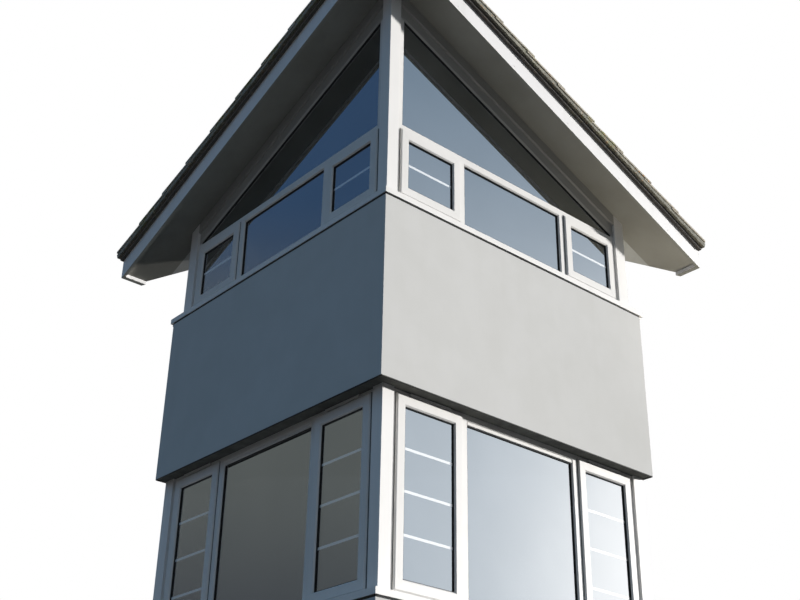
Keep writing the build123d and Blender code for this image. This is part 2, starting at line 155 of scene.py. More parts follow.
def face_extent(vertices, side):
    """Lowest and highest (u, v, z) of some points on one side of the bay."""
    back = face_axes(side).inverted()
    places = [back @ vertex for vertex in vertices]
    low = Vector([min(place[axis] for place in places) for axis in range(3)])
    high = Vector([max(place[axis] for place in places) for axis in range(3)])
    return low, high


def node_extent(name, side=RIGHT):
    """Lowest and highest (u, v, z) of one CAD node's half."""
    points = [vertex.co for vertex in cad[name].data.vertices if vertex.co.x * side > -touching]
    return face_extent(points, side)


plinth_low, plinth_high = node_extent("brick_plinth")
run_to_wall = (wall_line_y - corner_y) * math.sqrt(2)
return_end = run_to_wall - plinth_high.x


def start_material(name, roughness):
    """An empty material with its shader and the coordinates of the piece, in metres."""
    material = bpy.data.materials.new(name)
    material.use_nodes = True
    tree = material.node_tree
    tree.nodes.clear()
    output = tree.nodes.new("ShaderNodeOutputMaterial")
    shader = tree.nodes.new("ShaderNodeBsdfPrincipled")
    shader.inputs["Roughness"].default_value = roughness
    tree.links.new(shader.outputs["BSDF"], output.inputs["Surface"])
    place = tree.nodes.new("ShaderNodeTexCoord").outputs["Object"]
    return material, tree, shader, place


def add_mottle(tree, place, scale, detail, first, second, low=0.3, high=0.7):
    """Colour that wanders between two others with noise of a given scale per metre."""
    return add_mix(tree, add_range(tree, add_noise(tree, place, scale, detail), low, high), first, second)


def add_group(tree, group, place, **values):
    """The colour that a shared group gives; each of its values is a socket, a colour or a number."""
    placed = tree.nodes.new("ShaderNodeGroup")
    placed.node_tree = group
    tree.links.new(place, placed.inputs["Place"])
    for label, value in values.items():
        if isinstance(value, bpy.types.NodeSocket):
            tree.links.new(value, placed.inputs[label])
        elif isinstance(value, (tuple, list)):
            placed.inputs[label].default_value = (*value, 1)
        else:
            placed.inputs[label].default_value = value
    return placed.outputs["Color"]


def add_bump(tree, shader, height, distance, strength):
    """Raises the surface by a height from 0 to 1 over a distance in metres."""
    bump = tree.nodes.new("ShaderNodeBump")
    bump.inputs["Distance"].default_value = distance
    bump.inputs["Strength"].default_value = strength
    tree.links.new(height, bump.inputs["Height"])
    tree.links.new(bump.outputs["Normal"], shader.inputs["Normal"])


def dress(material, *names):
    """Gives CAD nodes their finish."""
    for name in names:
        for held in cad[name].material_slots:
            held.material = material


brick_clay, tree, shader, place = start_material("buff stock brick", 0.86)
tone = tree.nodes.new("ShaderNodeAttribute")
tone.attribute_name = "tone"
darker = add_range(tree, tone.outputs["Fac"], 0.0, 0.5)
body = add_mix(tree, darker, (0.25, 0.15, 0.08), (0.42, 0.28, 0.155))
body = add_mix(tree, add_range(tree, tone.outputs["Fac"], 0.5, 1.0), body, (0.55, 0.41, 0.25))
body = add_mottle(tree, place, 38, 6, body, (0.19, 0.12, 0.07), 0.5, 0.72)
body = add_mottle(tree, place, 160, 3, body, (0.62, 0.52, 0.38), 0.58, 0.75)
aged = add_group(tree, weather, place, Color=body, Dirt=(0.16, 0.15, 0.11), Patches=0.35, Streaks=0.25)
tree.links.new(aged, shader.inputs["Base Color"])
add_bump(tree, shader, add_noise(tree, place, 220, 6), 0.0022, 0.8)

mortar_bed, tree, shader, place = start_material("sand mortar", 0.93)
sandy = add_mottle(tree, place, 300, 4, (0.42, 0.37, 0.28), (0.60, 0.55, 0.45), 0.35, 0.7)
aged = add_group(tree, weather, place, Color=sandy, Dirt=(0.22, 0.20, 0.15), Patches=0.45, Streaks=0.2)
tree.links.new(aged, shader.inputs["Base Color"])
add_bump(tree, shader, add_noise(tree, place, 420, 5), 0.0015, 0.9)
dress(mortar_bed, "brick_plinth")

chance = random.Random(7)
bricks = bmesh.new()
tones = bricks.faces.layers.float.new("tone")


def add_block(mesh, axes, low, high):
    """A closed block between two corners given along the axes; returns its vertices."""
    low, high = Vector(low), Vector(high)
    place = axes @ Matrix.Translation((low + high) / 2) @ Matrix.Diagonal((*(high - low), 1))
    return bmesh.ops.create_cube(mesh, size=1, matrix=place)["verts"]


def soften(mesh, vertices, width):
    """Rounds the edges between some vertices."""
    edges = list(dict.fromkeys(edge for vertex in vertices for edge in vertex.link_edges))
    bmesh.ops.bevel(mesh, geom=edges, offset=width, offset_type="OFFSET", affect="EDGES", segments=1,
                    profile=0.5, material=-1)


def lay_brick(axes, low, high):
    """One brick, a little out of true, with worn arrises and a tone of its own."""
    out = chance.uniform(-brick_sway, brick_sway)
    held = set(bricks.faces)
    corners = add_block(bricks, axes, (low[0], low[1] + out, low[2]), high)
    soften(bricks, corners, worn_arris)
    shade = chance.betavariate(2.2, 2.0)
    for face in bricks.faces:
        if face not in held:
            face[tones] = shade


for side in (RIGHT, LEFT):
    axes = face_axes(side)
    for course in range(round(plinth_high.z / course_height)):
        foot = course * course_height + mortar_joint / 2
        head = foot + brick_height
        outer_face = plinth_low.y - brick_proud
        starts_whole = (course % 2 == 0) == (side == RIGHT)
        along = plinth_low.x - brick_proud + (0 if starts_whole else bond_step)
        far_end = plinth_high.x + brick_proud - (bond_step if course % 2 else 0)
        while along < far_end - mortar_joint:
            end = min(along + brick_length, far_end)
            if far_end - end < shortest_brick:
                end = far_end
            lay_brick(axes, (along, outer_face, foot), (end, outer_face + brick_depth, head))
            along = end + mortar_joint
        # The short return turns back from the far end, with its header or stretcher at the corner
        quarter_turn = Matrix.Rotation(math.radians(90), 4, "Z")
        turned = axes @ Matrix.Translation((plinth_high.x, 0, 0)) @ quarter_turn
        along = outer_face + (0 if course % 2 else bond_step)
        while along < return_end - mortar_joint:
            end = min(along + brick_length, return_end)
            lay_brick(turned, (along, -brick_proud, foot), (end, brick_depth - brick_proud, head))
            along = end + mortar_joint


def cut_away(mesh, point, outward):
    """Cuts the mesh at a plane, drops what is beyond it and closes the cut."""
    geometry = mesh.verts[:] + mesh.edges[:] + mesh.faces[:]
    cut = bmesh.ops.bisect_plane(mesh, geom=geometry, dist=1e-6, plane_co=point, plane_no=outward,
                                 clear_outer=True)
    edges = [item for item in cut["geom_cut"] if isinstance(item, bmesh.types.BMEdge)]
    bmesh.ops.holes_fill(mesh, edges=edges, sides=0)


def finish_piece(mesh, name, material):
    """Turns a bmesh into a piece of the bay that stands with its CAD body."""
    bmesh.ops.recalc_face_normals(mesh, faces=mesh.faces)
    data = bpy.data.meshes.new(name)
    mesh.to_mesh(data)
    mesh.free()
    data.materials.append(material)
    piece = bpy.data.objects.new(name, data)
    bpy.context.scene.collection.objects.link(piece)
    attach(piece, "root")
    return piece


wall_plane = (Vector((0, wall_line_y, 0)), Vector((0, 1, 0)))
cut_away(bricks, *wall_plane)
finish_piece(bricks, "plinth_bricks", brick_clay)

# Smooth rendered walls: thin polymer render on framed panels, painted a light warm grey.
# A dark stop bead closes the bottom arris of each wall and throws the rain clear.
painted_render, tree, shader, place = start_material("painted render", 0.84)
shader.inputs["Specular IOR Level"].default_value = 0.05
wall_paint = add_mottle(tree, place, 5.0, 4, (0.59, 0.587, 0.576), (0.572, 0.569, 0.556))
aged = add_group(tree, weather, place, Color=wall_paint, Dirt=(0.42, 0.41, 0.37), Patches=0.10, Streaks=0.06)
tree.links.new(aged, shader.inputs["Base Color"])
add_bump(tree, shader, add_noise(tree, place, 110, 6), 0.0007, 0.4)
wall_names = [f"{storey}_{side}" for storey in ("ground_apron", "first_spandrel", "second_spandrel")
              for side in ("left", "right")]
dress(painted_render, *wall_names, "wall_returns")

stop_bead_dark, tree, shader, place = start_material("dark stop bead", 0.6)
shader.inputs["Specular IOR Level"].default_value = 0.1
weathered = add_mottle(tree, place, 60, 3, (0.012, 0.012, 0.011), (0.03, 0.03, 0.027))
tree.links.new(weathered, shader.inputs["Base Color"])
bead_depth, bead_drop = 0.006, 0.007
tuck, slight_tuck = 0.001, 0.0005
upper_walls = ("first_spandrel", "second_spandrel")
stop_beads = bmesh.new()
for wall in upper_walls:
    low, high = node_extent(f"{wall}_right")
    for side in (RIGHT, LEFT):
        add_block(stop_beads, face_axes(side), (tuck, tuck, low.z - bead_drop),
                  (high.x - tuck, bead_depth, low.z + tuck))
        add_block(stop_beads, face_axes(side), (high.x - bead_depth, bead_depth, low.z - bead_drop),
                  (high.x - tuck, return_end, low.z + tuck))
cut_away(stop_beads, *wall_plane)
finish_piece(stop_beads, "render_stop_beads", stop_bead_dark)

# Undersides of the walls: grey boards between the stop bead and the window head below. They face the ground,
# and their dark colour is mostly painted shade over the bare board's own grey.
under_board, tree, shader, place = start_material("bare grey board", 0.85)
shader.inputs["Specular IOR Level"].default_value = 0.1
# Painted shade: this near-black grey stands for the shade under each wall.
bare_and_shaded = add_mottle(tree, place, 12, 5, (0.11, 0.11, 0.10), (0.16, 0.16, 0.145))
tree.links.new(bare_and_shaded, shader.inputs["Base Color"])
add_bump(tree, shader, add_noise(tree, place, 140, 4), 0.0006, 0.5)
board_drop = 0.0015
head_setback = node_extent("first_frames")[0].y
under_boards = bmesh.new()
for wall in upper_walls:
    low, high = node_extent(f"{wall}_right")
    for side, start in ((RIGHT, bead_depth), (LEFT, head_setback)):
        add_block(under_boards, face_axes(side), (start, bead_depth, low.z - board_drop),
                  (high.x - bead_depth, head_setback, low.z + slight_tuck))
finish_piece(under_boards, "wall_underside_boards", under_board)

# Ground slab and floor decks: screeded decks between the walls, and a plain concrete slab.
# Only their cut edges, tops and undersides show, through the open back and the glass.
screed, tree, shader, place = start_material("floor screed", 0.88)
trowelled = add_mottle(tree, place, 7, 6, (0.30, 0.29, 0.27), (0.38, 0.37, 0.34))
speckled = add_mottle(tree, place, 240, 2, trowelled, (0.24, 0.23, 0.21), 0.6, 0.75)
tree.links.new(speckled, shader.inputs["Base Color"])
add_bump(tree, shader, add_noise(tree, place, 90, 5), 0.001, 0.6)
dress(screed, "ground_floor", "first_floor", "second_floor")

# White plastic sills, posts, frames and casements: extruded sections with welded mitres.
# The surface is satin, very slightly uneven, and holds thin dirt where rain runs off.
# Posts and sills wear plain cover trims, which have stayed a little whiter than the windows.


def window_plastic(name, pale, dull):
    """White extruded plastic between two tones; the last value is its aged colour."""
    material, tree, shader, place = start_material(name, 0.48)
    shader.inputs["Specular IOR Level"].default_value = 0.3
    extruded = add_mottle(tree, place, 3.0, 3, pale, dull, 0.35, 0.7)
    aged = add_group(tree, weather, place, Color=extruded, Dirt=(0.50, 0.49, 0.44), Patches=0.06,
                     Streaks=0.16)
    tree.links.new(aged, shader.inputs["Base Color"])
    satin = add_range(tree, add_noise(tree, place, 12, 4), 0.2, 0.8, 0.42, 0.54)
    tree.links.new(satin, shader.inputs["Roughness"])
    add_bump(tree, shader, add_noise(tree, place, 35, 3), 0.0004, 0.3)
    return material, tree, shader, place, aged


window_white, window_dull = (0.72, 0.704, 0.686), (0.696, 0.68, 0.66)
white_plastic = window_plastic("white window plastic", window_white, window_dull)[0]
cover_plastic = window_plastic("white cover trim", (0.785, 0.768, 0.752), (0.76, 0.744, 0.727))[0]
storeys = ("ground", "first", "second")
for storey in storeys:
    dress(cover_plastic, f"{storey}_sill", f"{storey}_corner_post", f"{storey}_end_posts")
    dress(white_plastic, f"{storey}_frames", f"{storey}_casements")
    dress(painted_render, f"{storey}_cheeks")
dress(white_plastic, "glazing_beads", "window_handles", "trickle_vents")

# Welded mitres of the casements: a fine line runs across each corner of the rails.
# They are hairline strips that lie on the face between the two bevels.


def loose_solids(name):
    """The separate solids of one CAD node, each as (side, lowest, highest, its points as (u, v, z))."""
    mesh = bmesh.new()
    mesh.from_mesh(cad[name].data)
    bmesh.ops.remove_doubles(mesh, verts=mesh.verts, dist=1e-6)
    seen = set()
    solids = []
    for first in mesh.verts:
        if first in seen:
            continue
        seen.add(first)
        found = [first]
        for vertex in found:
            for edge in vertex.link_edges:
                other = edge.other_vert(vertex)
                if other not in seen:
                    seen.add(other)
                    found.append(other)
        middle = sum(vertex.co.x for vertex in found) / len(found)
        side = RIGHT if middle > 0 else LEFT
        back = face_axes(side).inverted()
        points = [back @ vertex.co for vertex in found]
        low, high = face_extent([vertex.co for vertex in found], side)
        solids.append((side, low, high, points))
    mesh.free()
    return solids


weld_line, tree, shader, place = start_material("welded mitre", 0.5)
welded = add_mottle(tree, place, 80, 2, (0.64, 0.63, 0.61), (0.72, 0.71, 0.69))
tree.links.new(welded, shader.inputs["Base Color"])
rail_width, rail_bevel = 0.070, 0.008
weld_width, weld_rise = 0.0016, 0.0003
mitres = bmesh.new()
casement_solids = [solid for storey in storeys for solid in loose_solids(f"{storey}_casements")]
for side, low, high, _ in casement_solids:
    for corner_u, turn_u in ((low.x, 1), (high.x, -1)):
        for corner_z, turn_z in ((low.z, 1), (high.z, -1)):
            diagonal = math.atan2(turn_z, turn_u)
            axes = (face_axes(side) @ Matrix.Translation((corner_u, low.y, corner_z))
                    @ Matrix.Rotation(-diagonal, 4, "Y"))
            add_block(mitres, axes, (rail_bevel * math.sqrt(2), -weld_rise, -weld_width / 2),
                      ((rail_width - rail_bevel) * math.sqrt(2), weld_rise, weld_width / 2))
finish_piece(mitres, "welded_mitres", weld_line)

# Black sealant and packing under each sill, set back in the recess below its nosing.
# It closes the joint between the sill and the wall top and reads as a dark line.
rubber, tree, shader, place = start_material("black rubber", 0.6)
shader.inputs["Specular IOR Level"].default_value = 0.1
perished = add_mottle(tree, place, 45, 3, (0.008, 0.008, 0.009), (0.022, 0.022, 0.022))
tree.links.new(perished, shader.inputs["Base Color"])
add_bump(tree, shader, add_noise(tree, place, 300, 2), 0.0003, 0.5)
sill_seals = bmesh.new()
sill_recess, seal_depth, seal_height, seal_overlap = 0.015, 0.013, 0.0145, 0.002
seal_front = sill_recess - seal_depth
for storey in storeys:
    foot = node_extent(f"{storey}_sill")[0].z
    for side in (RIGHT, LEFT):
        add_block(sill_seals, face_axes(side), (seal_front, seal_front, foot),
                  (face_width, sill_recess + seal_overlap, foot + seal_height))
finish_piece(sill_seals, "sill_seals", rubber)

# Sealed glass units: two sheets of clear float glass that mirror the sky by day.
# The outer sheet's reflection carries most of the look; a little of the dark room shows through.
window_glass, tree, shader, place = start_material("sealed window glass", 0.015)
shader.inputs["Metallic"].default_value = 0.85
shader.inputs["Transmission Weight"].default_value = 1.0
shader.inputs["IOR"].default_value = 1.5
add_bump(tree, shader, add_noise(tree, place, 1.3, 1), 0.004, 0.25)
floated = add_mottle(tree, place, 2.2, 3, (0.375, 0.40, 0.42), (0.39, 0.415, 0.435))
tree.links.new(floated, shader.inputs["Base Color"])
glass_nodes = [f"{storey}_glass" for storey in storeys] + ["gable_glass"]
dress(window_glass, *glass_nodes)

# Head beads: a square white bead across the top of each wide fixed pane of the two tall windows.
# It clips into the frame head in front of the glass, which is sealed along its lower edge.
frame_lap = 0.009
head_bead_height, head_bead_setback, head_bead_round = 0.021, 0.0015, 0.0015
glass_gap = 0.0002
wide_pane = rail_width * 8
panes = [solid for name in glass_nodes for solid in loose_solids(name)]
top_sill_foot = node_extent("second_sill")[0].z


def has_head_bead(low, high):
    """Whether a pane is a wide fixed one below the top storey."""
    return high.x - low.x > wide_pane and high.z < top_sill_foot


head_beads = bmesh.new()
for side, low, high, _ in panes:
    if has_head_bead(low, high):
        bead_top = high.z - frame_lap + tuck
        bead_front = head_setback + head_bead_setback
        corners = add_block(head_beads, face_axes(side),
                            (low.x + frame_lap, bead_front, bead_top - head_bead_height),
                            (high.x - frame_lap, low.y - glass_gap, bead_top))
        soften(head_beads, corners, head_bead_round)
finish_piece(head_beads, "head_beads", white_plastic)

# Black gaskets: a rubber wedge between each pane and the rail that holds it, all round.
# It fills the rail's inner side from the glass out to the bevel, so it shows widest above and beside.
gasket_width, gasket_rise = 0.005, 0.008
gaskets = bmesh.new()
for side, low, high, points in panes:
    outline = {(round(p.x, 5), round(p.z, 5)) for p in points if p.y < low.y + touching}
    if has_head_bead(low, high):
        outline = {(u, z - head_bead_height if z > high.z - touching else z) for u, z in outline}
    centre = Vector((sum(p[0] for p in outline), sum(p[1] for p in outline))) / len(outline)
    ordered = sorted(outline, key=lambda p: math.atan2(p[1] - centre.y, p[0] - centre.x))
    ring = bmesh.new()
    pane_face = ring.faces.new([ring.verts.new((p[0], low.y, p[1])) for p in ordered])
    ring.normal_update()
    bmesh.ops.inset_region(ring, faces=[pane_face], thickness=frame_lap, use_even_offset=True,
                           use_boundary=True)
    bmesh.ops.delete(ring, geom=[face for face in ring.faces if face is not pane_face], context="FACES")
    ring.normal_update()
    bmesh.ops.inset_region(ring, faces=[pane_face], thickness=gasket_width, use_even_offset=True,
                           use_boundary=True)
    bmesh.ops.delete(ring, geom=[pane_face], context="FACES_ONLY")
    raised = bmesh.ops.extrude_face_region(ring, geom=ring.faces[:])
    moved = [item for item in raised["geom"] if isinstance(item, bmesh.types.BMVert)]
    bmesh.ops.translate(ring, verts=moved, vec=(0, -gasket_rise, 0))
    bmesh.ops.transform(ring, matrix=face_axes(side), verts=ring.verts)
    strip = bpy.data.meshes.new("gasket strip")
    ring.to_mesh(strip)
    ring.free()
    gaskets.from_mesh(strip)
    bpy.data.meshes.remove(strip)
finish_piece(gaskets, "glazing_gaskets", rubber)

# Weather seals: a black lip round each casement, pressed between its overlap and the frame.
# It shows as a dark line along the casement's side where the light does not reach.
casement_proud, seal_lip, seal_thickness = 0.015, 0.004, 0.002
weather_seals = bmesh.new()
for side, low, high, _ in casement_solids:
    seat = low.y + casement_proud
    for near_end, far_end in (((low.x - seal_lip, low.z - seal_lip), (low.x, high.z + seal_lip)),
                              ((high.x, low.z - seal_lip), (high.x + seal_lip, high.z + seal_lip)),
                              ((low.x, low.z - seal_lip), (high.x, low.z)),
                              ((low.x, high.z), (high.x, high.z + seal_lip))):
        add_block(weather_seals, face_axes(side), (near_end[0], seat - seal_thickness, near_end[1]),
                  (far_end[0], seat + slight_tuck, far_end[1]))
finish_piece(weather_seals, "weather_seals", rubber)

# Glazing bars: slim white bars between the two sheets of the casement panes, three in the tall and
# one in the low. They are seen through the outer sheet, so each is a thin strip on it that keeps
# part of the glass's own mirror.
veiled_bar, tree, shader, place = start_material("bar behind glass", 0.02)
shader.inputs["Metallic"].default_value = 0.3
veiled = add_mottle(tree, place, 2.2, 3, (0.80, 0.81, 0.82), (0.84, 0.85, 0.86))
tree.links.new(veiled, shader.inputs["Base Color"])
add_bump(tree, shader, add_noise(tree, place, 1.3, 1), 0.004, 0.25)
bar_height, bar_rise = 0.017, 0.0002
tall_bars, low_bars = 3, 1
tall_by = 0.1
bar_inset = frame_lap + gasket_width - tuck
glazing_bars = bmesh.new()
for side, low, high, _ in panes:
    if high.x - low.x > wide_pane:
        continue
    height = high.z - low.z - 2 * frame_lap
    count = tall_bars if height > high.x - low.x + tall_by else low_bars
    for index in range(count):
        level = low.z + frame_lap + height * (index + 1) / (count + 1)
        add_block(glazing_bars, face_axes(side),
                  (low.x + bar_inset, low.y - bar_rise, level - bar_height / 2),
                  (high.x - bar_inset, low.y + slight_tuck, level + bar_height / 2))
finish_piece(glazing_bars, "glazing_bars", veiled_bar)

# Inner window boards: moulded boards with a painted satin face.
# They close the wall top inside each window.
inner_board, tree, shader, place = start_material("inner window board", 0.4)
brush_marks = add_range(tree, add_noise(tree, place, 14, 4, stretch=(1, 1, 4)), 0.3, 0.7)
brushed = add_mix(tree, brush_marks, (0.78, 0.77, 0.74), (0.72, 0.71, 0.68))
tree.links.new(brushed, shader.inputs["Base Color"])
add_bump(tree, shader, add_noise(tree, place, 120, 3), 0.0004, 0.4)
dress(inner_board, *[f"{storey}_window_boards" for storey in storeys])

# Verge soffit, bargeboards and eaves ends: painted white boards. The soffit's colour is set down to a dull
# grey as painted shade, with dirt patches and streaks on top, and the boards' undersides carry painted
# shade.
soffit_board, tree, shader, place = start_material("soffit board", 0.72)
shader.inputs["Specular IOR Level"].default_value = 0.03
# Painted shade: the soffit's grey stands for the shade in the recess under the verge.
shaded_soffit = add_mottle(tree, place, 2.2, 5, (0.36, 0.352, 0.322), (0.295, 0.287, 0.257), 0.3, 0.75)
aged = add_group(tree, weather, place, Color=shaded_soffit, Dirt=(0.22, 0.21, 0.17), Patches=0.25, Streaks=0.15)
tree.links.new(aged, shader.inputs["Base Color"])
add_bump(tree, shader, add_noise(tree, place, 70, 4), 0.0006, 0.4)
dress(soffit_board, "soffit_left", "soffit_right")

barge_board, tree, shader, place = start_material("white bargeboard", 0.5)
shader.inputs["Specular IOR Level"].default_value = 0.42
painted = add_mottle(tree, place, 4, 4, (0.79, 0.775, 0.775), (0.755, 0.745, 0.74))
aged = add_group(tree, weather, place, Color=painted, Dirt=(0.42, 0.41, 0.35), Patches=0.08, Streaks=0.18)
# Faces that look down are mixed to a dull grey: painted shade on the undersides of the boards.
facing = tree.nodes.new("ShaderNodeSeparateXYZ")
tree.links.new(tree.nodes.new("ShaderNodeNewGeometry").outputs["Normal"], facing.inputs["Vector"])
underside = add_range(tree, facing.outputs["Z"], -0.6, -0.85)
tree.links.new(add_mix(tree, underside, aged, (0.29, 0.285, 0.25)), shader.inputs["Base Color"])
add_bump(tree, shader, add_noise(tree, place, 55, 3), 0.0004, 0.3)
dress(barge_board, "bargeboards", "eaves_boards")

# Capped nails of the bargeboards: two rows of plastic caps that follow the slope of the roof.
# The slope is read from the soffit. On it, s runs down the slope, v inwards from the face, and h
# square out of the roof from the soffit's underside.
soffit_face = max(cad["soffit_right"].data.polygons, key=lambda polygon: polygon.area)
slope_normal = soffit_face.normal
fall = abs((slope_normal.x + slope_normal.y) * math.sqrt(0.5) / slope_normal.z)
pitch = math.atan(fall)
to_right_face = face_axes(RIGHT).inverted()


def lowest_over_slope(name):
    """Height over the corner at which the underside of a right-hand roof node would cross it."""
    places = [to_right_face @ vertex.co for vertex in cad[name].data.vertices]
    return min(place.z + fall * place.x for place in places)


soffit_at_corner = lowest_over_slope("soffit_right")


def roof_axes(side):
    """Matrix that turns (s, v, h) on one slope into the part's own axes."""
    return (face_axes(side) @ Matrix.Translation((0, 0, soffit_at_corner))
            @ Matrix.Rotation(pitch, 4, "Y"))


nail_caps = bmesh.new()
barge_face = node_extent("bargeboards")[0].y
barge_end = node_extent("bargeboards")[1].x
nail_spacing, nail_radius, nail_rise = 0.60, 0.005, 0.0018
nail_crown = nail_radius * 0.7
first_nail, end_margin = -0.15, 0.05
nail_rows = (0.005, 0.092)
for side in (RIGHT, LEFT):
    along = first_nail
    while along < barge_end / math.cos(pitch) - end_margin:
        for height in nail_rows:
            place_cap = (roof_axes(side) @ Matrix.Translation((along, barge_face - nail_rise / 2, height))
                         @ Matrix.Rotation(math.radians(90), 4, "X"))
            bmesh.ops.create_cone(nail_caps, cap_ends=True, segments=12, radius1=nail_radius,
                                  radius2=nail_crown, depth=nail_rise, matrix=place_cap)
        along += nail_spacing
finish_piece(nail_caps, "barge_nail_caps", weld_line)

# Gable frames and the trims over their raking heads: the windows' white plastic. Within a band under the
# soffit that follows the slope down to the glass, it is darkened to grey as painted shade, the shade of the
# recess under the verge.
shade_painted_plastic, tree, shader, place, plastic = window_plastic(
    "plastic with painted shade", window_white, window_dull)
spot = tree.nodes.new("ShaderNodeSeparateXYZ")
tree.links.new(place, spot.inputs["Vector"])
plan_fall = fall * math.sqrt(0.5)
along_plan = add_math(tree, "ADD", add_math(tree, "ABSOLUTE", spot.outputs["X"]), spot.outputs["Y"])
under_slope = add_math(tree, "MULTIPLY_ADD", along_plan, plan_fall, spot.outputs["Z"])
soffit_level = soffit_at_corner + plan_fall * corner_y
shade_fades_at, full_shade_at = 0.21, 0.18
# Painted shade: full within 0.18 m under the soffit's line, fading out by 0.21 m.
painted_shade = add_range(tree, under_slope, soffit_level - shade_fades_at, soffit_level - full_shade_at)
tree.links.new(add_mix(tree, painted_shade, plastic, (0.37, 0.362, 0.345)), shader.inputs["Base Color"])
dress(shade_painted_plastic, "gable_frames", "rake_trims")

# Ceiling lining and roof deck: plasterboard under insulated rafters, with a rolled coat of paint.
# They are seen only from inside and from behind, where the cut shows the deck's edge.
ceiling_paint, tree, shader, place = start_material("ceiling paint", 0.85)
rolled = add_mottle(tree, place, 9, 4, (0.56, 0.56, 0.54), (0.50, 0.50, 0.48))
tree.links.new(rolled, shader.inputs["Base Color"])
add_bump(tree, shader, add_noise(tree, place, 180, 3), 0.0005, 0.5)
dress(ceiling_paint, "ceiling", "roof_deck_left", "roof_deck_right")

# Lichen and algae on old concrete: round pale crusts, green and orange growth between them.
# It lies on the undercloak, the roof tiles, the hip tiles and the mortar that beds them.
lichen, given, result = start_group("lichen", [
    ("Place", "NodeSocketVector", None),
    ("Color", "NodeSocketColor", (0.3, 0.28, 0.25, 1)),
    ("Amount", "NodeSocketFloat", 0.6),
])
grown = given["Color"]
for spot_scale, spot_size, spot_color in (
    (14.0, 0.40, (0.20, 0.21, 0.07)),
    (23.0, 0.34, (0.46, 0.44, 0.36)),
    (31.0, 0.26, (0.42, 0.22, 0.08)),
    (40.0, 0.24, (0.55, 0.53, 0.45)),
):
    wander = lichen.nodes.new("ShaderNodeTexVoronoi")
    wander.feature = "SMOOTH_F1"
    wander.inputs["Scale"].default_value = spot_scale
    lichen.links.new(given["Place"], wander.inputs["Vector"])
    frayed = add_noise(lichen, given["Place"], spot_scale * 3, 4)
    ragged = add_math(lichen, "MULTIPLY_ADD", frayed, 0.55, wander.outputs["Distance"])
    crust = add_range(lichen, ragged, spot_size + 0.32, spot_size + 0.18)
    colony = add_range(lichen, add_noise(lichen, given["Place"], spot_scale / 8, 2), 0.44, 0.60)
    shown = add_math(lichen, "MULTIPLY", crust, colony)
    grown = add_mix(lichen, add_math(lichen, "MULTIPLY", shown, given["Amount"]), grown, spot_color)
lichen.links.new(grown, result["Color"])

# Undercloak: a thin fibre cement strip that lies over the bargeboard and carries the verge mortar.
# Its near-black tone is mostly painted shade: it stands for the shaded underside of the verge, a dark line
# between the white board and the tiles.
cement_sheet, tree, shader, place = start_material("fibre cement", 0.9)
shaded_sheet_tone = add_mottle(tree, place, 20, 5, (0.042, 0.039, 0.036), (0.075, 0.069, 0.063))
tree.links.new(add_group(tree, lichen, place, Color=shaded_sheet_tone, Amount=0.1), shader.inputs["Base Color"])
add_bump(tree, shader, add_noise(tree, place, 150, 4), 0.001, 0.6)
dress(cement_sheet, "undercloak")

# Roof tiles: concrete interlocking tiles with two low rolls, laid in courses up to the hip.
# Each course's noses lie on the course below, and the last tile of each course makes the verge.
tile_concrete, tree, shader, place = start_material("weathered concrete tile", 0.93)
tone = tree.nodes.new("ShaderNodeAttribute")
tone.attribute_name = "tone"
tile_body = add_mix(tree, tone.outputs["Fac"], (0.35, 0.31, 0.255), (0.52, 0.47, 0.39))
tile_body = add_mottle(tree, place, 55, 6, tile_body, (0.21, 0.19, 0.16), 0.5, 0.8)
aged = add_group(tree, weather, place, Color=tile_body, Dirt=(0.13, 0.13, 0.09), Patches=0.4, Streaks=0.1)
tree.links.new(add_group(tree, lichen, place, Color=aged, Amount=0.85), shader.inputs["Base Color"])
add_bump(tree, shader, add_noise(tree, place, 190, 6), 0.0025, 0.9)

bed_base = (lowest_over_slope("tiles_right") - soffit_at_corner) * math.cos(pitch)
bed_height, bed_setback = 0.026, 0.028
tile_base = bed_base + bed_height
tile_gauge, tile_lap = 0.345, 0.075
tile_width, tile_joint = 0.300, 0.002
tile_thickness, roll_height = 0.020, 0.020
rolls_across, roll_fullness = 2, 0.8
nose_height, head_height = 0.068, 0.050
lift = (nose_height - head_height) / tile_gauge
verge_margin = 0.003
most_slip, most_twist, most_sink = 0.003, 0.25, 0.0015
tile_low, tile_high = node_extent("tiles_right")
chance = random.Random(21)


def tile_shape():
    """One tile with its nose at s = 0 and its verge edge at v = 0, its rolls on top."""
    tile = bmesh.new()
    bmesh.ops.create_grid(tile, x_segments=3, y_segments=26, size=0.5)
    length = tile_gauge + tile_lap
    for vertex in tile.verts:
        s = (vertex.co.x - 0.5) * length
        v = (vertex.co.y + 0.5) * (tile_width - tile_joint)
        wave = math.cos(2 * math.pi * rolls_across * v / tile_width)
        roll = roll_height * max(0.0, wave) ** roll_fullness
        vertex.co = (s, v, nose_height + lift * s - roll_height + roll)
    bmesh.ops.recalc_face_normals(tile, faces=tile.faces)
    bmesh.ops.solidify(tile, geom=tile.faces[:], thickness=tile_thickness)
    highest = max(vertex.co.z for vertex in tile.verts)
    if highest > nose_height + touching:
        bmesh.ops.translate(tile, verts=tile.verts, vec=(0, 0, nose_height - highest))
    data = bpy.data.meshes.new("one tile")
    tile.to_mesh(data)
    tile.free()
    return data


